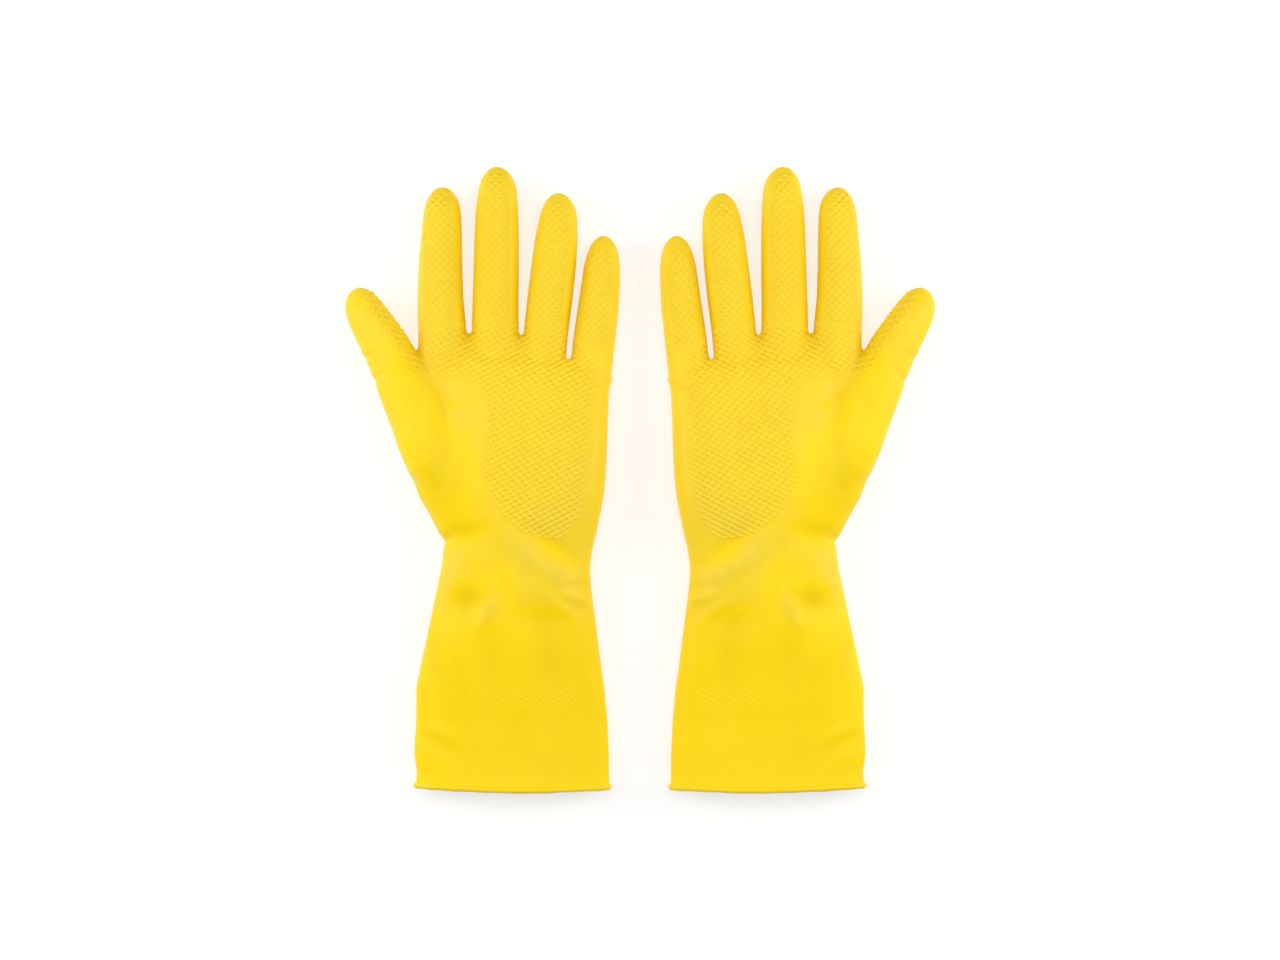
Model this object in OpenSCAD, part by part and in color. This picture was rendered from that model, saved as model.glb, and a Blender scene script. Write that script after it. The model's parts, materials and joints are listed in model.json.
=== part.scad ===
// A pair of household rubber gloves lying palm up, side by side, with straight fingers.
// x = 0 is the plane between the two gloves, y runs from the cuffs to the fingertips, and z = 0 is the table.
// A glove is one dipped film. It is divided here along the creases where it bends, so that each stretch can move.
// Both gloves come from one design: the left one is drawn, and the right one is its mirror image.
// Inside a glove, x is measured from the middle finger's axis and grows towards the little finger.

/* [Glove] */
// Length from the cuff's bead to the tip of the middle finger
glove_length = 305; // [290:1:330]
// Height of the palm above the table
palm_height = 34; // [30:0.5:38]
// Height of the open end of the cuff
cuff_mouth_height = 19; // [14:0.5:26]
// Distance from the middle finger's axis to the plane between the gloves
middle_offset = 70; // [66:1:90]

/* [Film] */
// Thickness of the rubber
rubber_wall = 0.5; // [0.4:0.05:0.8]
// Thickness of the cotton flock inside the palm and the cuff
flock_wall = 0.35; // [0.2:0.05:0.5]
// Diameter of the rolled bead round the cuff
bead_diameter = 2.6; // [2:0.1:3.5]

/* [Fingers] */
// Length of the index finger beyond its web
index_length = 72.5; // [64:0.5:78]
// Length of the middle finger beyond its web
middle_length = 82.5; // [74:0.5:88]
// Length of the ring finger beyond its web
ring_length = 72.5; // [64:0.5:78]
// Length of the little finger beyond its web
little_length = 59.5; // [54:0.5:64]
// Length of the thumb from its root
thumb_length = 65.5; // [60:0.5:70]

/* [Creases] */
// Distance from a finger's web to its knuckle crease
knuckle_at = 9.5; // [8:0.5:11]
// Distance from the root of the thumb to its base crease
thumb_knuckle_at = 27.5; // [26:0.5:30]
// Gap between two neighbouring stretches at a crease
crease_gap = 0.6; // [0.5:0.1:1]

/* [Hidden] */
sides = ["left", "right"];
finger_names = ["index", "middle", "ring", "little"];
stretches = ["base", "middle", "tip"];
thumb_stretches = ["base", "tip"];

rubber_yellow = [0.97, 0.85, 0.05];
flock_cream = [0.96, 0.93, 0.72];

// The open end and the fingertip of the middle finger are half a glove either side of y = 0.
y_hem = -glove_length / 2;
y_wrist = -38;
y_fingertip = glove_length / 2;

// A finger: [root x, root y, lean from +y towards the little finger, length, root radius, taper, tip fullness]
index_finger = [-26.4, y_fingertip - 10 - index_length, 0, index_length, 11.9, 2.4, 10];
middle_finger = [0, y_fingertip - middle_length, 0, middle_length, 11.5, 1.0, 10];
ring_finger = [23.8, y_fingertip - 12.5 - ring_length, 5.6, ring_length, 11.1, 0.8, 8];
little_finger = [46.7, y_fingertip - 33.2 - little_length, 5.5, little_length, 10.5, 1.2, 8];
thumb = [-37.9, 35, -28.5, thumb_length, 13.8, 3.0, 10];
fingers = [index_finger, middle_finger, ring_finger, little_finger];
thumb_height = 15.5;
// The finger stalls lie a little clear of the table, so only the back of the hand and the cuff rest on it
finger_lift = 0.6;

// Where the creases of a finger are, as shares of its length, and the thumb's in millimetres
second_crease = 0.37;
third_crease = 0.68;
thumb_second_crease = 46;

// How far a finger's root runs back into the palm
root_depth = 25;
// How far a cutting solid runs past the face that it opens
overrun = 2;
// How far the flock stops short of the film's cut ends
flock_set_back = 0.5;
// How far the rounded underside is sunk to leave a flat strip that rests on the table
underside_sink = 1.4;
roundness = 2.4;
ring_sides = 28;
root_sides = 18;

// Cross-sections of the hand, from the wrist to the knuckles: [left x, left y, right x, right y, height]
hand_sections = [
    [-26.3, y_wrist, 46.1, y_wrist, palm_height - 4],
    [-26.0, -31, 47.4, -31, palm_height - 3.5],
    [-31.7, -18, 50.5, -18, palm_height - 1],
    [-38.0, -3, 53.0, -3, palm_height],
    [-35.0, 15, 53.9, 13, palm_height],
    [-31.5, 35, 54.4, 30, palm_height - 2],
    [-33.0, 50, 54.9, 43, palm_height - 5.5],
    [-36.5, 60, 55.8, 51, palm_height - 9],
    [-37.2, 67, 56.4, 57, palm_height - 13]
];

// Cross-sections of the ball of the thumb along the thumb's axis: [distance, half width, lowest, highest]
thenar_sections = [
    [-48, 15, 4, palm_height - 5],
    [-30, 18.5, 1.6, palm_height - 2],
    [-14, 17.5, 1, palm_height - 2],
    [0, 14.8, 1.2, palm_height - 3.5]
];

// Cross-sections of the cuff, from the wrist to its open end: [left x, right x, y, height]
cuff_sections = [
    [-26.3, 46.1, y_wrist, palm_height - 4],
    [-28.7, 46.2, y_wrist - 14, palm_height - 5],
    [-33.6, 49.1, y_wrist - 38, palm_height - 8],
    [-38.6, 52.0, y_wrist - 61, palm_height - 11],
    [-39.6, 54.3, y_wrist - 84, cuff_mouth_height + 1.5],
    [-40.2, 55.0, y_wrist - 97, cuff_mouth_height + 0.5],
    [-39.3, 55.2, y_hem + bead_diameter / 2, cuff_mouth_height]
];
lining_end = y_hem + 14;

function finger_radius(f, at) =
    let (share = min(max(at, 0) / f[3], 1))
    (f[4] - f[5] * share) * sqrt(1 - pow(share, f[6]));

function along(f, at) = [f[0] + at * sin(f[2]), f[1] + at * cos(f[2])];

function bulge(v, p) = sign(v) * pow(abs(v), 2 / p);

// One closed ring of points, flattened underneath where it would sink below its lowest level
function section(centre, across, half_width, lowest, highest, sink, sides_count) =
    let (half_height = (highest - lowest + sink) / 2)
    [for (i = [0:sides_count - 1])
        let (a = 360 * i / sides_count, w = half_width * bulge(cos(a), roundness))
        [
            centre.x + across.x * w,
            centre.y + across.y * w,
            max(lowest, highest - half_height + half_height * bulge(sin(a), roundness))
        ]
    ];

function hand_ring(s, inset, shift = 0) =
    let (
        left = [s[0], s[1] + shift],
        right = [s[2], s[3] + shift],
        across = (right - left) / norm(right - left)
    )
    section((left + right) / 2, across, norm(right - left) / 2 - inset, inset, s[4] - inset,
            underside_sink, ring_sides);

function thumb_ring(at, half_width, lowest, highest, inset) =
    section(along(thumb, at), [cos(thumb[2]), -sin(thumb[2])], half_width - inset,
            lowest + inset, highest - inset, 0, root_sides);

function cuff_ring(s, inset, shift = 0) =
    section([(s[0] + s[1]) / 2, s[2] + shift], [1, 0], (s[1] - s[0]) / 2 - inset, inset,
            s[3] - inset, underside_sink, ring_sides);

// A closed solid through a row of rings that all have the same number of points
module loft(row) {
    // The faces come out outwards when the rings run down y, whichever way the row was listed
    rings = row[0][0].y > row[len(row) - 1][0].y ? row : [for (i = [len(row) - 1:-1:0]) row[i]];
    count = len(rings[0]);
    last = (len(rings) - 1) * count;
    polyhedron(
        points = [for (ring = rings) each ring],
        faces = concat(
            [[for (i = [0:count - 1]) i]],
            [[for (i = [count - 1:-1:0]) last + i]],
            [for (r = [0:len(rings) - 2]) for (i = [0:count - 1]) each [
                [r * count + i, (r + 1) * count + i, (r + 1) * count + (i + 1) % count],
                [r * count + i, (r + 1) * count + (i + 1) % count, r * count + (i + 1) % count]
            ]]
        )
    );
}

// The union and difference of lofts, taken as one mesh
module as_one_mesh() {
    resize([0, 0, 0]) children();
}

module on_side(side) {
    mirror([side == "right" ? 1 : 0, 0, 0]) translate([-middle_offset, 0, 0]) children();
}

// Stands a shape that runs up the z axis along a finger's axis instead
module along_finger(f, height) {
    translate([f[0], f[1], height]) rotate([0, 0, -f[2]]) rotate([-90, 0, 0]) children();
}

// The filled shape of a finger between two distances from its root, drawn up the z axis
module finger_form(f, from, to, inset) {
    steps = 8;
    stop = min(to, f[3] - inset);
    span = stop - from;
    rotate_extrude($fn = root_sides * 2)
        polygon(concat(
            [[0, from]],
            [for (i = [0:steps]) let (
                // Closer steps towards the end follow the round tip
                at = from + span * (1 - pow(1 - i / steps, 1.8))
            ) [max(finger_radius(f, at * f[3] / (f[3] - inset)) - inset, 0), at]],
            [[0, stop]]
        ));
}

// One stretch of a finger's or the thumb's hollow film, between two creases
module stall(f, height, from, to) {
    start = from + crease_gap / 2;
    tip = to >= f[3];
    stop = tip ? f[3] : to - crease_gap / 2;
    color(rubber_yellow) along_finger(f, height) difference() {
        finger_form(f, start, stop, 0);
        finger_form(f, start - overrun, tip ? f[3] : stop + overrun, rubber_wall);
    }
}

// A finger's root inside the palm, up to its knuckle crease; it narrows where it sinks into the palm
module finger_root(f, inset, past) {
    steps = 2;
    start = inset - root_depth;
    stop = knuckle_at - crease_gap / 2 + past;
    loft([for (i = [0:steps]) let (
        at = start + (stop - start) * i / steps,
        radius = finger_radius(f, at) * (1 + 0.005 * min(at, 0)) - inset
    ) [for (k = [0:root_sides - 1]) let (a = 360 * k / root_sides) [
        along(f, at).x + cos(f[2]) * radius * cos(a),
        along(f, at).y - sin(f[2]) * radius * cos(a),
        f[4] + finger_lift + radius * sin(a)
    ]]]);
}

module thumb_root(inset, past) {
    stop = thumb_knuckle_at - crease_gap / 2 + past;
    radius = finger_radius(thumb, stop);
    loft(concat(
        [for (s = thenar_sections) thumb_ring(s[0], s[1], s[2], s[3], inset)],
        [[for (k = [0:root_sides - 1]) let (a = 360 * k / root_sides) [
            along(thumb, stop).x + cos(thumb[2]) * (radius - inset) * cos(a),
            along(thumb, stop).y - sin(thumb[2]) * (radius - inset) * cos(a),
            thumb_height + (radius - inset) * sin(a)
        ]]]
    ));
}

// The filled shape of the hand, without its fingers; past is how far it runs through each open end
module hand_form(inset, past) {
    last = len(hand_sections) - 1;
    loft([for (i = [0:last]) hand_ring(
        hand_sections[i], inset,
        i == 0 ? crease_gap / 2 - past : i == last ? -inset : 0
    )]);
    for (f = fingers) finger_root(f, inset, past);
    thumb_root(inset, past);
}

module palm() {
    color(rubber_yellow) as_one_mesh() difference() {
        hand_form(0, 0);
        hand_form(rubber_wall, overrun);
    }
}

module palm_lining() {
    color(flock_cream) as_one_mesh() difference() {
        hand_form(rubber_wall, -flock_set_back);
        hand_form(rubber_wall + flock_wall, overrun);
    }
}

// The filled shape of the cuff; past is how far it runs through each end
module cuff_form(inset, past) {
    last = len(cuff_sections) - 1;
    loft([for (i = [0:last]) cuff_ring(
        cuff_sections[i], inset,
        i == 0 ? -crease_gap / 2 + past : i == last ? -past : 0
    )]);
}

module cuff() {
    color(rubber_yellow) as_one_mesh() difference() {
        cuff_form(0, 0);
        cuff_form(rubber_wall, overrun);
    }
}

module cuff_lining() {
    color(flock_cream) as_one_mesh() difference() {
        cuff_form(rubber_wall, 0);
        cuff_form(rubber_wall + flock_wall, overrun);
        translate([-glove_length, lining_end - glove_length, -overrun])
            cube([2 * glove_length, glove_length, 2 * palm_height]);
    }
}

// The rolled rim round the open end of the cuff: one round cord swept round the cuff's last ring
module cuff_bead() {
    r = bead_diameter / 2;
    turns = 8;
    mouth = cuff_ring(cuff_sections[len(cuff_sections) - 1], rubber_wall / 2);
    count = len(mouth);
    middle = [for (p = mouth) [p.x, y_hem + r, max(p.z, r)]];
    inward = [for (i = [0:count - 1]) let (
        t = middle[(i + 1) % count] - middle[(i + count - 1) % count]
    ) [-t.z, 0, t.x] / norm(t)];
    points = [for (i = [0:count - 1]) for (k = [0:turns - 1]) let (a = 360 * k / turns)
        middle[i] + r * cos(a) * inward[i] + [0, r * sin(a), 0]];
    color(rubber_yellow) polyhedron(points = points, faces = [
        for (i = [0:count - 1]) for (k = [0:turns - 1]) let (
            j = (i + 1) % count,
            m = (k + 1) % turns
        ) each [
            [i * turns + k, j * turns + k, j * turns + m],
            [i * turns + k, j * turns + m, i * turns + m]
        ]
    ]);
}

// Creases of a finger, from its knuckle to its tip
function creases(f) = [knuckle_at, second_crease * f[3], third_crease * f[3], f[3]];
thumb_creases = [thumb_knuckle_at, thumb_second_crease, thumb[3]];

for (side = sides) {
    on_side(side) cuff_bead();
    on_side(side) cuff();
    on_side(side) cuff_lining();
    on_side(side) palm();
    on_side(side) palm_lining();
    for (i = [0:len(thumb_stretches) - 1])
        on_side(side) stall(thumb, thumb_height, thumb_creases[i], thumb_creases[i + 1]);
    for (f = [0:len(fingers) - 1]) for (i = [0:len(stretches) - 1])
        on_side(side) stall(
                fingers[f], fingers[f][4] + finger_lift, creases(fingers[f])[i], creases(fingers[f])[i + 1]
            );
}
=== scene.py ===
"""A pair of household rubber gloves lying palm up on a pale table.

The left glove is made as one skin: a hand-and-cuff form, the ball of the thumb and five finger
stalls, merged, smoothed, pressed and pleated as moulded latex is, with the raised net grip on the
palm side. The skin is then parted between the creases, and the right glove is the mirror image of
it. Lengths in the tables are millimetres.
"""

import json
import math

import bmesh
import bpy
import numpy as np
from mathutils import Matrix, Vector


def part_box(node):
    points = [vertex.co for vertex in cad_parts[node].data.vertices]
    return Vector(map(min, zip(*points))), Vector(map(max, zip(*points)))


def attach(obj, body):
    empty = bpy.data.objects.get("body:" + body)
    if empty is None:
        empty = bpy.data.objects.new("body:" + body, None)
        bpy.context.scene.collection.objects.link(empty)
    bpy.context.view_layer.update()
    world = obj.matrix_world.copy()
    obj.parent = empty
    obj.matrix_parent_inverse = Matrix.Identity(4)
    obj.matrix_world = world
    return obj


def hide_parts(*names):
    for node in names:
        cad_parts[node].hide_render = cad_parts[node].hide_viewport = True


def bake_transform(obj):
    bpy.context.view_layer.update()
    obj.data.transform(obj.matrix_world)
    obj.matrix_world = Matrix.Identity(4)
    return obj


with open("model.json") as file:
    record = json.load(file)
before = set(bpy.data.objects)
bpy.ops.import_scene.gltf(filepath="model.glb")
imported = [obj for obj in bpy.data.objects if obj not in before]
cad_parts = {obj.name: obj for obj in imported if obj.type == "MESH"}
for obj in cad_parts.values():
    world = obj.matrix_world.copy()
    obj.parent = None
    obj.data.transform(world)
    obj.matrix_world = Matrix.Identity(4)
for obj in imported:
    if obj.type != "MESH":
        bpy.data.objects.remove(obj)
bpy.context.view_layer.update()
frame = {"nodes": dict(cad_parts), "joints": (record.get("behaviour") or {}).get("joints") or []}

MM = 0.001
FINGERS = ("index", "middle", "ring", "little")
FILM = 0.5 * MM
FLOCK = 0.35 * MM
SKIN_GRAIN = 0.9 * MM
GRIP_HEIGHT = 0.54 * MM
BEAD_RADIUS = 1.5 * MM
BEAD_SPANS = 180
HEM_CUT = 1.6 * MM
TABLE_CLEARANCE = 0.6


# ------------------------------------------------------------------------------------ the frame


def hinge(name):
    """Where a joint of the frame is, and its axis."""
    found = next(j for j in frame["joints"] if j["name"] == name)
    return np.array(found["pos_m"], float), np.array(found["axis"], float)


def corners(node):
    low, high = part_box(node)
    return np.array(low), np.array(high)


def vertices_of(node):
    mesh = frame["nodes"][node].data
    co = np.empty(len(mesh.vertices) * 3)
    mesh.vertices.foreach_get("co", co)
    return co.reshape(-1, 3)


class Stall:
    """A finger stall's axis: at() is a point on it, and along() and across() measure from it."""

    def __init__(self, name, root_to_knuckle):
        self.name = name
        pos, axis = hinge(f"left_{name}_knuckle")
        level = math.hypot(axis[0], axis[1])
        self.right = np.array([axis[0], axis[1], 0]) / level
        self.ahead = np.array([-self.right[1], self.right[0], 0])
        low, high = corners(f"left_{name}_base")
        self.radius = (high[2] - low[2]) / 2
        out = -axis[2] * self.right + level * np.array([0, 0, 1])
        self.knuckle = pos - self.radius * out
        self.root = self.knuckle - root_to_knuckle * self.ahead
        tip = vertices_of(f"left_{name}_tip")
        self.length = ((tip - self.root) @ self.ahead).max()
        names = ("knuckle", "end") if name == "thumb" else ("knuckle", "mid", "end")
        self.creases = [(hinge(f"left_{name}_{j}")[0] - self.root) @ self.ahead for j in names]

    def at(self, distance, across=0.0, height=0.0):
        return self.root + distance * self.ahead + across * self.right + np.array([0, 0, height])

    def along(self, co):
        return (co - self.root) @ self.ahead

    def across(self, co):
        return (co - self.root) @ self.right


stalls = {name: Stall(name, 9.5 * MM) for name in FINGERS}
stalls["thumb"] = Stall("thumb", 27.5 * MM)
middle_x = stalls["middle"].root[0]
wrist_pos = hinge("left_wrist_fold")[0]
hem_y = corners("left_cuff_bead")[0][1]

# ------------------------------------------------------------------------------- section tables

# Share of the stall's length from its root, reach towards the thumb and towards the little finger
STALL_SECTIONS = {
    "index": (
        (-0.34, 11.6, 11.6), (0.07, 11.7, 11.8), (0.14, 12.0, 11.2), (0.26, 12.1, 10.4),
        (0.47, 11.6, 9.9), (0.66, 10.3, 9.8), (0.80, 9.4, 9.5), (0.87, 8.5, 8.9),
        (0.93, 6.9, 7.4), (0.97, 4.9, 5.3), (1.0, 2.2, 2.4),
    ),
    "middle": (
        (-0.25, 11.0, 11.0), (0.06, 12.0, 10.9), (0.17, 11.8, 10.8), (0.35, 11.3, 11.1),
        (0.58, 10.8, 11.1), (0.76, 10.0, 10.7), (0.88, 8.5, 9.8), (0.94, 6.9, 7.9),
        (0.975, 4.6, 5.5), (1.0, 2.1, 2.6),
    ),
    "ring": (
        (-0.30, 10.8, 10.8), (0.10, 10.9, 10.9), (0.30, 10.8, 11.4), (0.50, 10.4, 11.5),
        (0.70, 9.8, 11.1), (0.84, 8.6, 9.9), (0.91, 7.4, 8.4), (0.96, 5.6, 5.9),
        (1.0, 2.4, 2.6),
    ),
    "little": (
        (-0.30, 10.1, 10.1), (0.09, 10.2, 10.5), (0.26, 9.8, 10.6), (0.41, 9.3, 10.7),
        (0.58, 8.8, 10.3), (0.75, 8.3, 9.4), (0.84, 7.3, 8.4), (0.92, 5.9, 6.7),
        (0.965, 4.0, 4.5), (1.0, 1.8, 2.0),
    ),
    "thumb": (
        (-0.20, 6.0, 5.0), (-0.14, 11.0, 9.5), (-0.05, 14.2, 13.2), (0.06, 15.0, 14.4),
        (0.21, 13.4, 13.2), (0.36, 12.2, 12.1), (0.51, 11.4, 11.9), (0.60, 11.1, 11.2),
        (0.69, 10.8, 10.4), (0.78, 10.4, 9.5), (0.86, 9.4, 8.5), (0.92, 7.9, 7.2),
        (0.965, 5.6, 5.4), (1.0, 2.6, 2.6),
    ),
}

# The hand and the cuff from the knuckles to the hem: left x and y, right x and y, height.
# x is measured from the middle finger's axis, and y from the frame's origin.
HAND_SECTIONS = (
    (-36.4, 66, 56.2, 56, 21), (-36.2, 60, 56.0, 51, 25), (-33.0, 50, 55.0, 43, 28.5),
    (-31.5, 35, 54.5, 30, 31.5), (-35.0, 15, 54.0, 13, 33.5), (-41.0, 2, 53.5, 2, 33.7),
    (-37.6, -8, 52.5, -8, 33.5), (-31.9, -18, 50.6, -18, 32.5), (-27.3, -27.5, 48.6, -27.5, 31),
    (-25.6, -33, 46.9, -34, 30), (-26.5, -42, 45.7, -43, 29.5), (-28.7, -52, 46.2, -52, 29),
    (-32.7, -71, 48.7, -71, 27), (-37.1, -91, 51.2, -91, 24), (-39.2, -101, 52.7, -101, 22.5),
    (-39.5, -119, 54.4, -119, 20.3), (-40.5, -135, 55.0, -135, 19.3),
    (-39.1, -144.5, 55.1, -144.5, 19), (-39.6, -149, 55.3, -149, 19), (-39.8, -158, 55.4, -158, 19),
)

# The ball of the thumb along the thumb's axis: distance from the stall's root, reach to each side,
# lowest and highest
THENAR_SECTIONS = (
    (-60, 6, 4, 10, 24), (-50, 12, 8, 5, 28),
    (-38, 17.5, 9.5, 2.5, 30.5), (-26, 19.2, 11, 1.2, 31.5),
    (-14, 18.2, 13, 1, 31.5), (-3, 16.2, 14.2, 1.4, 30.5),
    (8, 14.8, 14.2, 2, 29.6), (20, 12.8, 12.6, 2.8, 28.3),
)

# The web under the three inner gaps: left x and y, right x and y, lowest, highest. x is as in the
# hand's sections.
WEB_SECTIONS = (
    (-20, 71.2, 22, 69.2, 6, 15.5), (-22, 68.5, 25, 66, 4, 18), (-26, 64, 30, 61.5, 2.5, 20.5),
    (-28, 56, 44, 48, 2, 22),
)

# The pleats on the thumb's outer edge: place along the thumb, depth (negative is raised), width
THUMB_PLEATS = (
    (35.8, -0.4, 1.3), (33.0, 0.4, 1.4), (24.6, -0.4, 1.3), (21.7, 0.4, 1.5), (15.0, -0.25, 2.0),
)


# ------------------------------------------------------------------------------------- modelling


def nothing_selected():
    if bpy.context.object is not None and bpy.context.object.mode != "OBJECT":
        bpy.ops.object.mode_set(mode="OBJECT")
    bpy.ops.object.select_all(action="DESELECT")


def only(piece):
    nothing_selected()
    piece.select_set(True)
    bpy.context.view_layer.objects.active = piece


def apply_modifier(piece, kind, **settings):
    only(piece)
    modifier = piece.modifiers.new(kind.title(), kind)
    for key, value in settings.items():
        setattr(modifier, key, value)
    bpy.ops.object.modifier_apply(modifier=modifier.name)


def points_of(piece):
    co = np.empty(len(piece.data.vertices) * 3)
    piece.data.vertices.foreach_get("co", co)
    return co.reshape(-1, 3)


def normals_of(piece):
    no = np.empty(len(piece.data.vertices) * 3)
    piece.data.vertex_normals.foreach_get("vector", no)
    return no.reshape(-1, 3)


def set_points(piece, co):
    piece.data.vertices.foreach_set("co", np.ascontiguousarray(co, dtype=np.float32).ravel())
    piece.data.update()


def faces_of(piece):
    """Middle and outward direction of every face."""
    count = len(piece.data.polygons)
    middle, normal = np.empty(count * 3), np.empty(count * 3)
    piece.data.polygons.foreach_get("center", middle)
    piece.data.polygons.foreach_get("normal", normal)
    return middle.reshape(-1, 3), normal.reshape(-1, 3)


def select_faces(piece, chosen):
    mesh = piece.data
    mesh.vertices.foreach_set("select", np.zeros(len(mesh.vertices), bool))
    mesh.edges.foreach_set("select", np.zeros(len(mesh.edges), bool))
    mesh.polygons.foreach_set("select", np.ascontiguousarray(chosen, dtype=bool))


def ring_of(centre, side, left, right, low, high, fullness, sunk=0.0, count=48):
    """A closed section: a rounded oval that reaches left and right of its centre, flat at low."""
    half, shift = (left + right) / 2, (right - left) / 2
    tall = (high - low + sunk) / 2
    points = []
    for k in range(count):
        a = 2 * math.pi * k / count
        c, s = math.cos(a), math.sin(a)
        w = shift + half * math.copysign(abs(c) ** (2 / fullness), c)
        z = high - tall + tall * math.copysign(abs(s) ** (2 / fullness), s)
        p = centre + w * side
        points.append((p[0], p[1], max(z, low)))
    return points


def lofted(name, rings):
    """A closed form: a filled circle, extruded once for each ring and shaped to it."""
    nothing_selected()
    bpy.ops.mesh.primitive_circle_add(vertices=len(rings[0]), radius=0.01, fill_type="NGON")
    form = bpy.context.object
    form.name = name
    bpy.ops.object.mode_set(mode="EDIT")
    bm = bmesh.from_edit_mesh(form.data)
    bm.verts.ensure_lookup_table()
    for vert, point in zip(bm.verts, rings[0]):
        vert.co = point
    bmesh.update_edit_mesh(form.data)
    last = rings[0]
    for ring in rings[1:]:
        bpy.ops.mesh.extrude_region_move()
        bm = bmesh.from_edit_mesh(form.data)
        place = {tuple(round(v, 6) for v in p): i for i, p in enumerate(last)}
        for vert in bm.verts:
            if vert.select:
                vert.co = ring[place[tuple(round(v, 6) for v in vert.co)]]
        bmesh.update_edit_mesh(form.data)
        last = [tuple(np.float32(v).item() for v in p) for p in ring]
    bpy.ops.mesh.select_all(action="SELECT")
    bpy.ops.mesh.normals_make_consistent(inside=False)
    bpy.ops.object.mode_set(mode="OBJECT")
    return form


def stall_form(name):
    """A finger stall's filled form along its axis."""
    s = stalls[name]
    rings = []
    for share, left, right in STALL_SECTIONS[name]:
        left, right = left * MM, right * MM
        tall = (left + right) / 2 * (1.0 if share < 0.9 else 0.94)
        centre = s.at(share * s.length if share < 1 else s.length - 0.1 * MM)
        low, high = centre[2] - tall, centre[2] + tall
        rings.append(ring_of(centre, s.right, left, right, low, high, 2.05))
    return lofted(f"{name}_form", rings)


def slanted_ring(lx, ly, rx, ry, low, high, *shape):
    """A section between a left and a right place on the glove."""
    left = np.array([middle_x + lx * MM, ly * MM, 0])
    right = np.array([middle_x + rx * MM, ry * MM, 0])
    half = np.linalg.norm(right - left) / 2
    side = (right - left) / (2 * half)
    return ring_of((left + right) / 2, side, half, half, low * MM, high * MM, *shape)


def hand_form():
    rings = [slanted_ring(*ends, 0.0, high, 2.35, 1.6 * MM, 96) for *ends, high in HAND_SECTIONS]
    return lofted("hand_form", rings)


def thenar_form():
    s = stalls["thumb"]
    rings = []
    for distance, left, right, low, high in THENAR_SECTIONS:
        centre = s.at(distance * MM)
        rings.append(ring_of(centre, s.right, left * MM, right * MM, low * MM, high * MM, 2.2))
    return lofted("thenar_form", rings)


def web_form():
    return lofted("web_form", [slanted_ring(*section, 2.4) for section in WEB_SECTIONS])


def smoothstep(x, start, stop):
    t = np.clip((x - start) / (stop - start), 0, 1)
    return t * t * (3 - 2 * t)


def places(co):
    """x from the middle finger's axis and y, in millimetres."""
    return (co[:, 0] - middle_x) / MM, co[:, 1] / MM


def spot(co, x, y, wide, tall, turn=0.0):
    """1 at a place on the glove and falling to 0 round it, turned by some degrees."""
    dx, dy = co[:, 0] - middle_x - x * MM, co[:, 1] - y * MM
    a = math.radians(turn)
    u = (dx * math.cos(a) + dy * math.sin(a)) / (wide * MM)
    v = (-dx * math.sin(a) + dy * math.cos(a)) / (tall * MM)
    return np.exp(-(u * u + v * v))


def away_from_outline(co, outline):
    """Distance inside a closed outline, negative outside it, with both in millimetres."""
    px, py = places(co)
    best = np.full(len(co), 1e9)
    inside = np.zeros(len(co), bool)
    for (x0, y0), (x1, y1) in zip(outline, outline[1:] + outline[:1]):
        ex, ey = x1 - x0, y1 - y0
        t = np.clip(((px - x0) * ex + (py - y0) * ey) / (ex * ex + ey * ey), 0, 1)
        best = np.minimum(best, np.hypot(px - x0 - t * ex, py - y0 - t * ey))
        if y0 != y1:
            crosses = (py > min(y0, y1)) & (py <= max(y0, y1)) & (px < x0 + (py - y0) * ex / ey)
            inside ^= crosses
    return np.where(inside, best, -best)


# ------------------------------------------------------------------------------------- the skin

forms = [hand_form(), thenar_form(), web_form()] + [stall_form(name) for name in STALL_SECTIONS]
nothing_selected()
for form in forms:
    form.select_set(True)
bpy.context.view_layer.objects.active = forms[0]
bpy.ops.object.join()
skin = forms[0]
skin.name = "left_skin"
apply_modifier(skin, "REMESH", mode="VOXEL", voxel_size=SKIN_GRAIN, use_smooth_shade=True)
apply_modifier(skin, "SMOOTH", factor=0.5, iterations=16)


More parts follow.
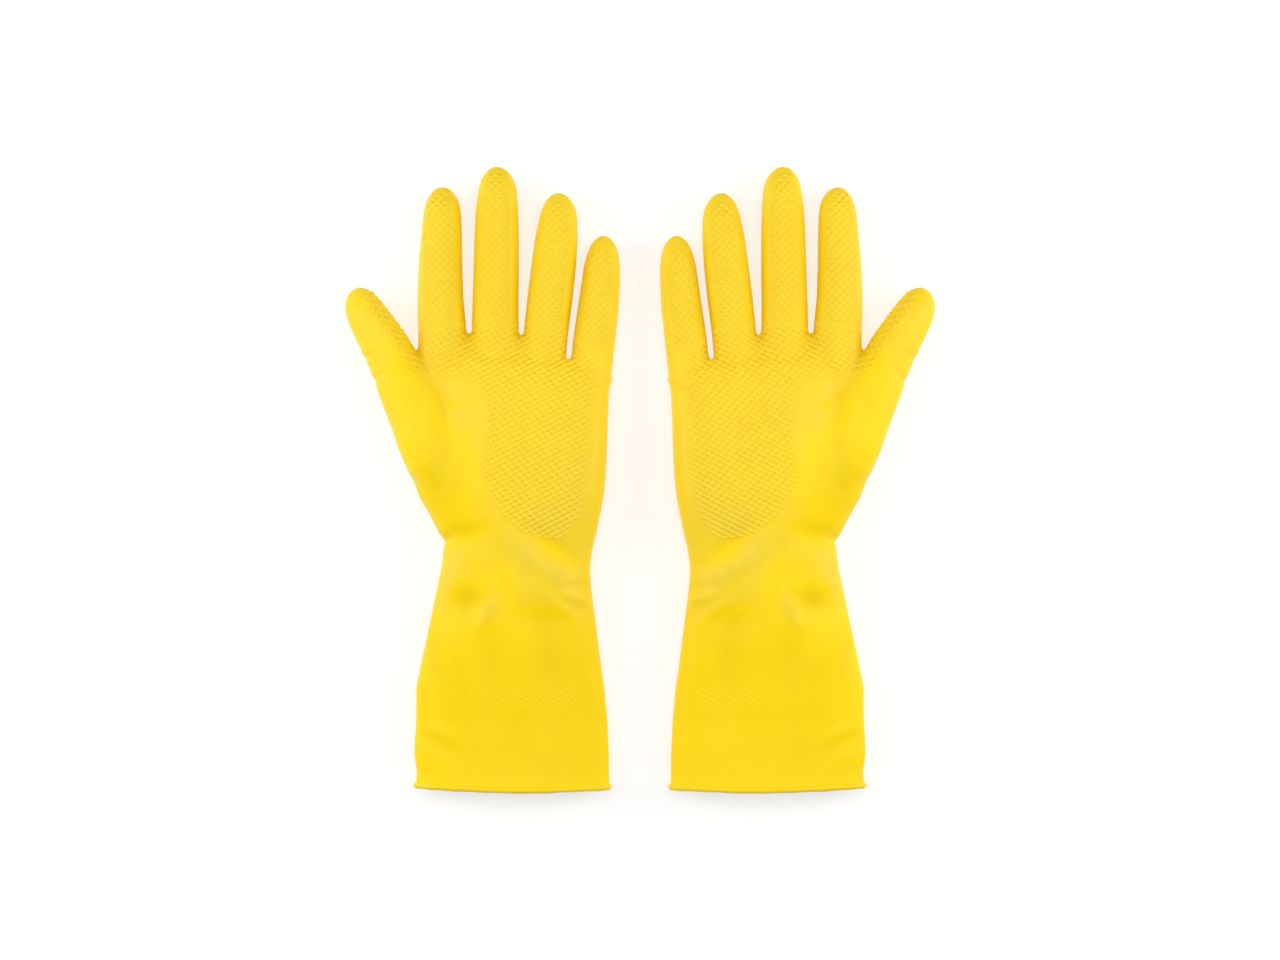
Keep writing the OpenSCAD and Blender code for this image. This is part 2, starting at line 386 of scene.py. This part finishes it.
def mould(skin):
    """Dents, creases and folds of the moulded film, pressed into the palm side and the edges."""
    co, no = points_of(skin), normals_of(skin)
    top = smoothstep(no[:, 2], 0.05, 0.7)
    x, y = places(co)
    lift = np.zeros(len(co))
    # the hollow of the palm, and the soft fold between it and the ball of the thumb
    lift -= 2.4 * spot(co, 16, 20, 22, 32)
    lift -= 1.1 * spot(co, -27, 50, 3.2, 12, 27)
    lift -= 0.7 * spot(co, -19, 38, 3.4, 6, 52) - 0.5 * spot(co, -15, 34, 5, 5)
    # the pads under the fingers and the heel of the hand
    lift += 0.8 * spot(co, -24, 60, 10, 9) + 0.7 * spot(co, 2, 58, 10, 9)
    lift += 0.7 * spot(co, 25, 53, 9, 9) + 0.5 * spot(co, 44, 45, 8, 9)
    lift += 0.9 * spot(co, 40, 6, 11, 24)
    # the dimple at the wrist with its raised rim, and the slanting folds beside it
    lift -= 2.7 * spot(co, -14.5, -61.0, 8.0, 8.5)
    lift += 1.0 * spot(co, -4.5, -65, 3.6, 8, -28) + 0.8 * spot(co, -24, -48, 4.5, 11, -14)
    lift += 1.5 * spot(co, 25, -43, 5.5, 19, 52)
    lift -= 1.4 * spot(co, 27, -33, 4.5, 15, 50)
    lift -= 1.4 * spot(co, 44, -53, 8, 2.6, -12) - 1.2 * spot(co, 41, -57.5, 9, 3, -14)
    lift += 1.0 * spot(co, 32, -62, 9, 3, -40) - 1.4 * spot(co, 23, -68, 12, 8, -10)
    lift -= 0.9 * spot(co, 2, -46, 4, 14, 4) - 0.5 * spot(co, -10, -36, 9, 6)
    lift -= 0.9 * spot(co, -12, -26, 10, 5, 12)
    # long soft waves down the cuff
    lift -= 1.5 * spot(co, 27, -88, 7, 24, 4) + 1.0 * spot(co, -2, -88, 6, 22, 4)
    lift += 0.9 * spot(co, -18, -86, 4.5, 20, 14) + 0.6 * spot(co, 43, -86, 5, 18, 8)
    lift -= 0.7 * spot(co, -29, -92, 4, 22, 8)
    lift += 0.5 * spot(co, 12, -108, 9, 14) - 0.6 * spot(co, -27, -129, 10, 4, -30)
    lift += 0.5 * spot(co, -30, -122, 9, 3, -24)
    co[:, 2] += lift * MM * top
    # pleats on the thumb's outer edge
    s = stalls["thumb"]
    out, ahead = -s.across(co) / MM, s.along(co) / MM
    edge = smoothstep(out, 3, 11) * smoothstep(no[:, 2], -0.5, 0.3)
    for at, deep, wide in THUMB_PLEATS:
        co -= no * (deep * MM * edge * np.exp(-((ahead - at) / wide) ** 2))[:, None]
    # the fold in the thumb side of the wrist, and the small nip on the other side
    left_edge = smoothstep(-x, 18, 25)
    fold = np.exp(-((y + 29.5 - 0.35 * (x + 25)) / 2.6) ** 2) * left_edge
    co[:, 0] += 1.5 * MM * fold * smoothstep(no[:, 2], -0.9, -0.1)
    co[:, 2] -= 0.9 * MM * fold * top
    right_edge = smoothstep(x, 50, 55)
    co[:, 0] += 0.7 * MM * right_edge * np.exp(-((y - 48.5) / 1.8) ** 2)
    co[:, 2] -= 0.9 * MM * smoothstep(x, 38, 52) * top * np.exp(-((y - 46) / 1.5) ** 2)
    # nothing sinks into the table
    least = TABLE_CLEARANCE * MM
    co[:, 2] = np.where(co[:, 2] < least, least * np.exp((co[:, 2] - least) / least), co[:, 2])
    set_points(skin, co)


mould(skin)
apply_modifier(skin, "SMOOTH", factor=0.5, iterations=3)

# The cuff is cut open just inside the rolled rim.
only(skin)
bpy.ops.object.mode_set(mode="EDIT")
bpy.ops.mesh.select_all(action="SELECT")
bpy.ops.mesh.bisect(plane_co=(0, hem_y + HEM_CUT, 0), plane_no=(0, 1, 0), clear_inner=True)
bpy.ops.object.mode_set(mode="OBJECT")


def sag(co):
    """The hem's gentle curve: it is drawn up a little at both ends."""
    x, y = places(co)
    up = 1.7 * smoothstep(-x, -8, 42) + 0.9 * smoothstep(x, 18, 56)
    near = smoothstep(hem_y / MM + 34 - y, 0, 32)
    out = co.copy()
    out[:, 1] += up * near * MM
    return out


set_points(skin, sag(points_of(skin)))

# The lining follows the same skin, so a copy of it is kept before the grip is added.
inner_skin = skin.copy()
inner_skin.data = skin.data.copy()
inner_skin.name = "left_inner_skin"
bpy.context.collection.objects.link(inner_skin)

# ------------------------------------------------------------------------------------- the grip

PALM_GRIP = [
    (-35.6, 74), (-35.2, 50.5), (-22, 49), (-11, 47.2), (-5, 36),
    (-5.4, 24), (-7, 10), (-6.2, 0), (-1, -10.5),
    (5.5, -19.5), (13, -25), (21, -28), (34, -29), (40, -18),
    (44, -8), (46.5, 9), (48.6, 45), (49.5, 54),
    (48, 62), (30, 76), (0, 78),
]


def ridge(offset, spacing, width):
    """Height of parallel ridges, 0 to 1, where offset is the distance across them."""
    d = (offset / spacing - np.floor(offset / spacing) - 0.5) * spacing
    return np.exp(-((d / width) ** 2))


def scales(u, v, wide, rise, width):
    """Rows of round-topped scales, each row set half a scale along from the last."""
    row = rise / 2
    best = np.zeros(len(u))
    for step in (-1, 0, 1):
        k = np.floor(v / row) + step
        arch = np.abs(np.cos(math.pi * (u / wide + 0.5 * k))) ** 0.6
        d = v - (k + 0.95 * arch) * row
        best = np.maximum(best, np.exp(-((d / width) ** 2)))
    return best


# Half the width of the grip on each stall, how far its middle is off the axis, and how far it stops
# before the tip
STALL_GRIP = {
    "index": (7.7, -1.2, 3.8), "middle": (6.8, -0.4, 3.8),
    "ring": (6.9, 0.0, 5.2), "little": (6.2, -0.1, 7.5),
}


def grip_area(co, no):
    """Where each sort of grip is: the palm's, each stall's, and the faint print on the cuff."""
    up = smoothstep(no[:, 2], 0.2, 0.4)
    areas = {"palm": smoothstep(away_from_outline(co, PALM_GRIP), -0.5, 0.6) * up}
    for name in FINGERS:
        s = stalls[name]
        ahead, across = s.along(co) / MM, s.across(co) / MM
        half, centre, bare = STALL_GRIP[name]
        narrow = half - 3.4 * smoothstep(ahead, s.length / MM - 20, s.length / MM - 4)
        lane = smoothstep(narrow - np.abs(across - centre), -0.4, 0.5)
        ends = smoothstep(ahead, -2, 3) * smoothstep(s.length / MM - bare - ahead, -0.4, 0.5)
        areas[name] = lane * ends * up
    s = stalls["thumb"]
    ahead, across = s.along(co) / MM, s.across(co) / MM
    border = 5.4 - 2.4 * smoothstep(ahead, 33, 48)
    lane = smoothstep(across - border, -0.4, 0.5) * smoothstep(13.5 - across, -0.5, 0.7)
    ends = smoothstep(ahead - 13, -0.5, 2) * smoothstep(s.length / MM - 4 - ahead, -0.4, 0.5)
    areas["thumb"] = lane * ends * smoothstep(no[:, 2], -0.1, 0.15)
    x, y = places(co)
    on_cuff = smoothstep(y, -117, -108) * smoothstep(-y, 97, 103)
    on_cuff = on_cuff * smoothstep(x, -19, -10) * smoothstep(47 - x, 0, 8)
    areas["ghost"] = on_cuff * smoothstep(no[:, 2], 0.6, 0.9)
    return areas


def grip_height(co, no):
    """Height of the raised net, and how far the skin there belongs to the grip, 0 to 1."""
    x, y = places(co)
    areas = grip_area(co, no)
    total, share = np.zeros(len(co)), np.zeros(len(co))
    a, b = math.radians(27), math.radians(-47)
    net = np.maximum(
        ridge(y * math.cos(a) - x * math.sin(a), 2.35, 0.42),
        0.85 * ridge(y * math.cos(b) - x * math.sin(b), 2.9, 0.42),
    )
    on_stall = np.zeros(len(co))
    for name in FINGERS + ("thumb",):
        s = stalls[name]
        u, v = s.across(co) / MM, s.along(co) / MM
        first = 12 if name == "thumb" else 2
        start = smoothstep(v, first, first + 6) * (np.abs(u) < 14)
        total = np.maximum(total, areas[name] * start * scales(u, v, 3.7, 3.8, 0.46))
        share = np.maximum(share, areas[name] * start)
        on_stall = np.maximum(on_stall, start * (areas[name] > 0))
    total = np.maximum(total, areas["palm"] * (1 - on_stall) * net)
    share = np.maximum(share, areas["palm"])
    total = np.maximum(total, 0.22 * areas["ghost"] * net)
    border = smoothstep(away_from_outline(co, PALM_GRIP), 0, 5)
    share *= np.maximum(border, 0.6 * (on_stall > 0))
    return total, share


middle_of_face, face_normal = faces_of(skin)
areas = grip_area(middle_of_face, face_normal)
select_faces(skin, np.maximum.reduce(list(areas.values())) > 0.02)
only(skin)
bpy.ops.object.mode_set(mode="EDIT")
bpy.ops.mesh.subdivide(number_cuts=1, smoothness=0)
bpy.ops.object.mode_set(mode="OBJECT")
co, no = points_of(skin), normals_of(skin)
height, share = grip_height(co, no)
set_points(skin, co + no * (GRIP_HEIGHT * height)[:, None])
skin.data.shade_smooth()


def give(piece, name, values):
    attribute = piece.data.attributes.new(name, "FLOAT", "POINT")
    attribute.data.foreach_set("value", np.ascontiguousarray(values, dtype=np.float32))


def rubbed(co, no):
    """Paler yellow, up to 1, for worn dull patches and as painted sheen and highlight on the upper
    wrist and the raised folds; deeper yellow, down to -1, as painted shade in dents, creases and
    troughs and on the fingers' sides.
    """
    x, y = places(co)
    # painted sheen: the upward-facing film above the cuff is painted paler
    lighter_or_deeper = 0.5 * smoothstep(y, -74 - 0.12 * x, -58) * smoothstep(no[:, 2], 0.1, 0.8)
    # paler patches: worn dull spots, and painted highlight along the raised folds and the dimple's
    # rim
    spots = (
        (24, -20, 8, 7, 0, 0.8), (12, -36, 8, 9, -30, 0.35),
        (30, -46, 5, 16, 52, 0.5), (-24, -46, 5, 12, -14, 0.4),
        (-4, -65, 4, 8, -28, 0.6), (-12, 30, 14, 9, 20, 0.25),
        (40, -12, 7, 22, 10, 0.3), (-34, 62, 3, 60, 0, 0.4),
    )
    for px, py, wide, tall, turn, how in spots:
        lighter_or_deeper = lighter_or_deeper + how * spot(co, px, py, wide, tall, turn) * smoothstep(no[:, 2], 0, 0.6)
    # painted shade: deeper yellow in the dimple, in the creases and folds of the wrist, on and beside
    # the ball of the thumb and in the troughs of the cuff's waves
    deep = (
        (-14.5, -59, 7, 8, 0, 1.3), (27, -34, 4, 14, 50, 0.7),
        (23, -68, 13, 7, -10, 0.7), (-16, -25, 11, 5, 0, 0.8),
        (-27, 2, 16, 22, 12, 1.4), (-40, 40, 9, 22, 25, 0.9),
        (27, -88, 6, 22, 4, 0.4), (-2, -88, 6, 22, 4, 0.3),
        (-30, -84, 4, 18, 10, 0.4), (-26, -130, 10, 3, -30, 0.3),
        (6, -52, 5, 14, 5, 0.5), (-4, -46, 12, 10, 0, 0.4),
    )
    for px, py, wide, tall, turn, how in deep:
        lighter_or_deeper = lighter_or_deeper - how * spot(co, px, py, wide, tall, turn)
    # painted shade: the sides of the fingers that face the next finger's gap are painted a deeper
    # yellow
    for name in ("index", "middle", "ring"):
        s = stalls[name]
        lane = smoothstep(s.along(co) / MM, 4, 12) * (np.abs(s.across(co)) < 13 * MM)
        lighter_or_deeper = lighter_or_deeper - 1.0 * lane * smoothstep(no @ s.right, 0.75, 1.0)
    return np.clip(lighter_or_deeper, -1, 1)


# painted light on the grip: its ridges are tinted paler as painted highlight, and the cells between
# them deeper as painted shade
give(skin, "grip", np.where(height > 0.5, height, share) * (2 * height - 1))
# painted sheen and highlight, painted shade, and worn dull patches, as paler and deeper yellow
give(skin, "rubbed", rubbed(co, no))

# -------------------------------------------------------------------------------- parts between the bends

BEND = 6.0 * MM
WRIST_BEND = 14.0 * MM


def thumb_bends():
    c = stalls["thumb"].creases
    return [(c[0] - 2.5 * MM, c[0] + 5.5 * MM), (c[1] - BEND, c[1] + BEND)]


def stall_bends(name):
    """Start and end of the bend at each crease, as distances from the stall's root."""
    if name == "thumb":
        return thumb_bends()
    return [(c - BEND, c + BEND) for c in stalls[name].creases]


def stall_cuts(name):
    """Where a stall's skin is parted: before its first bend, and midway between its bends."""
    bends = stall_bends(name)
    first = bends[0][0] - 0.9 * MM
    return [first] + [(a[1] + b[0]) / 2 for a, b in zip(bends, bends[1:])]


STRETCHES = {name: ("base", "middle", "tip") for name in FINGERS}
STRETCHES["thumb"] = ("base", "tip")
wrist_start, wrist_end = wrist_pos[1] + WRIST_BEND, wrist_pos[1] - WRIST_BEND
part_names = ["palm", "cuff"] + [f"{n}_{st}" for n in STRETCHES for st in STRETCHES[n]]


def part_of_faces(middle):
    """Which part of the glove each face belongs to, as an index in part_names."""
    part = np.zeros(len(middle), int)
    part[middle[:, 1] < wrist_start + 1 * MM] = part_names.index("cuff")
    nearest = np.argmin([np.abs(stalls[name].across(middle)) for name in FINGERS], axis=0)
    for name, stretches in STRETCHES.items():
        s = stalls[name]
        ahead, across = s.along(middle), s.across(middle)
        if name == "thumb":
            slanted = across - 0.35 * (ahead - s.creases[0])
            lane = (np.abs(across) < 14.0 * MM) & (slanted < 12.6 * MM)
        else:
            lane = (np.abs(across) < 15 * MM) & (nearest == FINGERS.index(name))
        for cut, stretch in zip(stall_cuts(name), stretches):
            part[lane & (ahead > cut)] = part_names.index(f"{name}_{stretch}")
    return part


def parted(whole, keep_as):
    """Splits a skin into its parts; keep_as gives each part's new name, or None to drop it."""
    middle, _ = faces_of(whole)
    part = part_of_faces(middle)
    whole.data.materials.clear()
    for name in part_names:
        whole.data.materials.append(bpy.data.materials.new(name + "_part"))
    whole.data.polygons.foreach_set("material_index", part.astype(np.int32))
    only(whole)
    bpy.ops.object.mode_set(mode="EDIT")
    bpy.ops.mesh.separate(type="MATERIAL")
    bpy.ops.object.mode_set(mode="OBJECT")
    made = {}
    for piece in list(bpy.context.selected_objects):
        slot = piece.data.polygons[0].material_index
        name = piece.material_slots[slot].name.removesuffix("_part")
        piece.data.materials.clear()
        first_slot = np.zeros(len(piece.data.polygons), np.int32)
        piece.data.polygons.foreach_set("material_index", first_slot)
        if keep_as(name) is None:
            bpy.data.objects.remove(piece)
            continue
        piece.name = keep_as(name)
        made[name] = piece
    for leftover in [m for m in bpy.data.materials if m.name.endswith("_part")]:
        bpy.data.materials.remove(leftover)
    return made


def remember_normals(piece):
    """Keeps the whole skin's outward direction at each point, so its parts still shade as one."""
    attribute = piece.data.attributes.new("outward", "FLOAT_VECTOR", "POINT")
    attribute.data.foreach_set("vector", normals_of(piece).astype(np.float32).ravel())


def shade_as_whole(piece, outer_count=None):
    mesh = piece.data
    attribute = mesh.attributes["outward"]
    no = np.empty(len(mesh.vertices) * 3, np.float32)
    attribute.data.foreach_get("vector", no)
    no = no.reshape(-1, 3)
    if outer_count is not None:
        no[outer_count:] *= -1
    mesh.attributes.remove(attribute)
    mesh.shade_smooth()
    mesh.normals_split_custom_set_from_vertices([tuple(n) for n in no])


remember_normals(skin)
remember_normals(inner_skin)
parts = parted(skin, lambda name: "left_" + name)
linings = parted(
    inner_skin, lambda name: f"left_{name}_lining" if name in ("palm", "cuff") else None,
)

# ------------------------------------------------------------------------------------- materials


def new_material(name):
    """A node material, and its nodes, links, shader and texture coordinates."""
    material = bpy.data.materials.new(name)
    material.use_nodes = True
    nodes = material.node_tree.nodes
    where = nodes.new("ShaderNodeTexCoord")
    return material, nodes, material.node_tree.links, nodes["Principled BSDF"], where


def noise(nodes, links, where, scale, detail):
    texture = nodes.new("ShaderNodeTexNoise")
    texture.inputs["Scale"].default_value = scale
    texture.inputs["Detail"].default_value = detail
    links.new(where.outputs["Object"], texture.inputs["Vector"])
    return texture


def two_colours(nodes, links, texture, low, first, high, second):
    """A ramp from one colour to another that follows a texture."""
    ramp = nodes.new("ShaderNodeValToRGB")
    for element, position, colour in zip(ramp.color_ramp.elements, (low, high), (first, second)):
        element.position = position
        element.color = (*colour, 1)
    links.new(texture.outputs["Fac"], ramp.inputs["Fac"])
    return ramp.outputs["Color"]


def fine_relief(nodes, links, texture, shader, strength, distance):
    bump = nodes.new("ShaderNodeBump")
    bump.inputs["Strength"].default_value = strength
    bump.inputs["Distance"].default_value = distance
    links.new(texture.outputs["Fac"], bump.inputs["Height"])
    links.new(bump.outputs["Normal"], shader.inputs["Normal"])


def latex(name, deep, pale, roughness):
    """Dipped yellow latex: faint clouds of colour, uneven gloss, and light that sinks in a little."""
    material, nodes, links, shader, where = new_material(name)
    clouds = noise(nodes, links, where, 22, 3)
    colour = two_colours(nodes, links, clouds, 0.3, deep, 0.7, pale)
    painted_light_and_wear_tints = (
        # the paler and deeper tints: worn patches, painted sheen and highlight, and painted shade;
        # and on the grip, painted highlight on the ridges and painted shade in the cells
        ("rubbed", 0, 1, 0.85, (0.84, 0.61, 0.045)), ("rubbed", 0, -1, 0.8, (0.80, 0.575, 0.001)),
        ("grip", 0, 1, 0.6, (0.93, 0.69, 0.070)), ("grip", 0, -1, 0.42, (0.72, 0.505, 0.001)),
    )
    for kind, start, stop, most, tint in painted_light_and_wear_tints:
        where_it_is = nodes.new("ShaderNodeAttribute")
        where_it_is.attribute_name = kind
        amount = nodes.new("ShaderNodeMapRange")
        amount.inputs["From Min"].default_value = start
        amount.inputs["From Max"].default_value = stop
        amount.inputs["To Max"].default_value = most
        links.new(where_it_is.outputs["Fac"], amount.inputs["Value"])
        mixed = nodes.new("ShaderNodeMix")
        mixed.data_type = "RGBA"
        links.new(amount.outputs["Result"], mixed.inputs["Factor"])
        links.new(colour, mixed.inputs["A"])
        mixed.inputs["B"].default_value = (*tint, 1)
        colour = mixed.outputs["Result"]
    links.new(colour, shader.inputs["Base Color"])
    gloss = noise(nodes, links, where, 90, 4)
    spread = nodes.new("ShaderNodeMapRange")
    spread.inputs["To Min"].default_value = roughness - 0.05
    spread.inputs["To Max"].default_value = roughness + 0.07
    links.new(gloss.outputs["Fac"], spread.inputs["Value"])
    links.new(spread.outputs["Result"], shader.inputs["Roughness"])
    fine_relief(nodes, links, noise(nodes, links, where, 1400, 2), shader, 0.12, 0.0001)
    shader.inputs["Subsurface Weight"].default_value = 0.06
    shader.inputs["Subsurface Radius"].default_value = (0.002, 0.0016, 0.0006)
    shader.inputs["Subsurface Scale"].default_value = 0.5
    shader.inputs["Specular IOR Level"].default_value = 0.19
    return material


def flock(name):
    """Short cotton flock: matte, a little lighter than the film, with a fine fibre grain."""
    material, nodes, links, shader, where = new_material(name)
    fibres = noise(nodes, links, where, 2600, 3)
    colour = two_colours(nodes, links, fibres, 0.3, (0.88, 0.77, 0.34), 0.75, (0.98, 0.93, 0.62))
    links.new(colour, shader.inputs["Base Color"])
    fine_relief(nodes, links, fibres, shader, 0.5, 0.0002)
    shader.inputs["Roughness"].default_value = 0.95
    shader.inputs["Sheen Weight"].default_value = 0.4
    shader.inputs["Sheen Roughness"].default_value = 0.6
    return material


film_latex = latex("film_latex", (0.93, 0.638, 0.0005), (0.975, 0.683, 0.001), 0.43)
bead_latex = latex("bead_latex", (0.88, 0.61, 0.004), (0.93, 0.67, 0.012), 0.38)
cotton_flock = flock("cotton_flock")

# ------------------------------------------------------------------------------ walls and linings


def walled(piece, thickness, inner_material):
    """Gives a part of the skin its thickness, inwards, with its own finish inside."""
    outer_count = len(piece.data.vertices)
    piece.data.materials.append(film_latex)
    if inner_material is not film_latex:
        piece.data.materials.append(inner_material)
    apply_modifier(
        piece, "SOLIDIFY", thickness=thickness, offset=-1, use_rim=True, use_quality_normals=True,
        material_offset=0 if inner_material is film_latex else 1,
    )
    shade_as_whole(piece, outer_count)


for name, piece in parts.items():
    if name == "palm":
        piece.data.materials.append(film_latex)
        shade_as_whole(piece)
    elif name == "cuff":
        walled(piece, FILM, film_latex)
    else:
        walled(piece, FILM + FLOCK, cotton_flock)

LINING_END = hem_y + 14 * MM
LINING_GAP = 0.12 * MM
for name, piece in linings.items():
    mesh = piece.data
    outward = np.empty(len(mesh.vertices) * 3, np.float32)
    mesh.attributes["outward"].data.foreach_get("vector", outward)
    set_points(piece, points_of(piece) - outward.reshape(-1, 3) * (FILM + LINING_GAP))
    if name == "cuff":
        only(piece)
        bpy.ops.object.mode_set(mode="EDIT")
        bpy.ops.mesh.select_all(action="SELECT")
        bpy.ops.mesh.bisect(plane_co=(0, LINING_END, 0), plane_no=(0, 1, 0), clear_inner=True)
        bpy.ops.object.mode_set(mode="OBJECT")
    outer_count = len(mesh.vertices)
    mesh.materials.append(cotton_flock)
    apply_modifier(piece, "SOLIDIFY", thickness=FLOCK, offset=-1, use_rim=True)
    shade_as_whole(piece, outer_count)


def rolled_bead():
    """The rim rolled round the mouth of the cuff, slightly uneven like a hand-rolled hem."""
    co = points_of(parts["cuff"])
    centre = np.array([middle_x + 7.9 * MM, 0, 9.5 * MM])
    flat = sag(np.array([[x, hem_y + HEM_CUT, 0] for x in co[:, 0]]))
    edge = co[co[:, 1] < flat[:, 1] + 0.35 * MM]
    angles = np.arctan2(edge[:, 2] - centre[2], (edge[:, 0] - centre[0]) / 4)
    path = []
    for k in range(BEAD_SPANS):
        a = -math.pi + 2 * math.pi * (k + 0.5) / BEAD_SPANS
        near = edge[np.argsort(np.abs(np.angle(np.exp(1j * (angles - a)))))[:6]]
        path.append(near.mean(0))
    path = np.array(path)
    for _ in range(6):
        path = (np.roll(path, 1, 0) + 2 * path + np.roll(path, -1, 0)) / 4
    path[:, 1] -= 0.15 * MM
    nothing_selected()
    bpy.ops.curve.primitive_bezier_circle_add()
    cord = bpy.context.object
    cord.name = "left_cuff_bead"
    cord.data.splines.clear()
    spline = cord.data.splines.new("POLY")
    spline.points.add(len(path) - 1)
    for i, (point, p) in enumerate(zip(spline.points, path)):
        point.co = (*p, 1)
        point.radius = 1 + 0.07 * math.sin(i * 0.21) + 0.05 * math.sin(i * 0.57 + 1)
    spline.use_cyclic_u = True
    cord.data.bevel_depth = BEAD_RADIUS
    cord.data.bevel_resolution = 4
    only(cord)
    bpy.ops.object.convert(target="MESH")
    bead = bpy.context.object
    co = points_of(bead)
    co[:, 2] = np.maximum(co[:, 2], 0.05 * MM)
    set_points(bead, co)
    only(bead)
    bpy.ops.object.mode_set(mode="EDIT")
    bpy.ops.mesh.select_all(action="SELECT")
    bpy.ops.mesh.normals_make_consistent(inside=False)
    bpy.ops.object.mode_set(mode="OBJECT")
    bead.data.materials.clear()
    bead.data.materials.append(bead_latex)
    bead.data.shade_smooth()
    return bead


bead = rolled_bead()

# --------------------------------------------------------------------- both gloves, with the palms and beads on their bodies


def mirrored(piece):
    """The same piece of the right glove."""
    twin = piece.copy()
    twin.data = piece.data.copy()
    twin.name = piece.name.replace("left_", "right_")
    bpy.context.collection.objects.link(twin)
    mesh = twin.data
    custom = None
    if mesh.has_custom_normals:
        custom = np.empty(len(mesh.loops) * 3)
        mesh.corner_normals.foreach_get("vector", custom)
        corner_vertex = np.empty(len(mesh.loops), int)
        mesh.loops.foreach_get("vertex_index", corner_vertex)
        custom = custom.reshape(-1, 3) * (-1, 1, 1)
        by_vertex = np.zeros((len(mesh.vertices), 3))
        by_vertex[corner_vertex] = custom
    co = points_of(twin)
    co[:, 0] *= -1
    set_points(twin, co)
    mesh.flip_normals()
    if custom is not None:
        mesh.normals_split_custom_set_from_vertices([tuple(n) for n in by_vertex])
    mesh.update()
    return twin


def flipped(point, side):
    return (point[0] if side == "left" else -point[0], point[1], point[2])


def set_on_bodies(piece, part, side):
    """Joins a palm part to the palm's body. For the cuff and the stall parts it works out where their
    bend starts and ends, and bakes their placement into the mesh.
    """
    if part == "palm":
        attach(piece, f"{side}_palm")
    elif part == "cuff":
        start = flipped((wrist_pos[0], wrist_start, wrist_pos[2]), side)
        end = flipped((wrist_pos[0], wrist_end, wrist_pos[2]), side)
        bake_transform(piece)
    else:
        name, stretch = part.split("_")
        stretches = STRETCHES[name]
        i = stretches.index(stretch)
        start, end = (flipped(stalls[name].at(d), side) for d in stall_bends(name)[i])
        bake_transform(piece)


for name, left_piece in list(parts.items()):
    for side, piece in (("right", mirrored(left_piece)), ("left", left_piece)):
        set_on_bodies(piece, name, side)
        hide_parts(f"{side}_{name}")
for name, left_piece in list(linings.items()):
    for side, piece in (("right", mirrored(left_piece)), ("left", left_piece)):
        set_on_bodies(piece, name, side)
        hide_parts(f"{side}_{name}_lining")
for side, piece in (("right", mirrored(bead)), ("left", bead)):
    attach(piece, f"{side}_cuff")
    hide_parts(f"{side}_cuff_bead")

# --------------------------------------------------------------------------- table, light, camera

nothing_selected()
bpy.ops.mesh.primitive_plane_add(size=6, location=(0, 0, -0.0002))
table_top = bpy.context.object
table_top.name = "table_top"
paper = bpy.data.materials.new("white_table")
paper.use_nodes = True
finish = paper.node_tree.nodes["Principled BSDF"].inputs
finish["Base Color"].default_value = (0.38, 0.38, 0.38, 1)
finish["Roughness"].default_value = 0.9
finish["Emission Color"].default_value = (1, 1, 1, 1)
finish["Emission Strength"].default_value = 0.63
table_top.data.materials.append(paper)


def soft_light(name, place, aim, size, power):
    nothing_selected()
    bpy.ops.object.light_add(type="AREA", location=place)
    lamp = bpy.context.object
    lamp.name = name
    lamp.data.shape = "RECTANGLE"
    lamp.data.size, lamp.data.size_y = size
    lamp.data.energy = power
    lamp.rotation_euler = (Vector(aim) - Vector(place)).to_track_quat("-Z", "Y").to_euler()
    return lamp


soft_light("overhead_softbox", (0, 0.22, 1.5), (0, -0.02, 0), (1.2, 0.9), 9.6)
soft_light("left_softbox", (-0.72, 0.1, 0.42), (-0.08, -0.02, 0), (0.4, 0.7), 3.4)
soft_light("right_softbox", (0.72, 0.1, 0.42), (0.08, -0.02, 0), (0.4, 0.7), 3.4)

world = bpy.data.worlds.new("studio")
world.use_nodes = True
world.node_tree.nodes["Background"].inputs["Color"].default_value = (1, 1, 1, 1)
world.node_tree.nodes["Background"].inputs["Strength"].default_value = 0.3
bpy.context.scene.world = world
bpy.context.scene.view_settings.view_transform = "Standard"

nothing_selected()
camera_height = 1.745
bpy.ops.object.camera_add(location=(0, -0.00024, camera_height), rotation=(0, 0, 0))
camera = bpy.context.object
camera.name = "camera"
camera.data.lens = 100
camera.data.sensor_width = 36
camera.data.clip_end = 20
bpy.context.scene.camera = camera
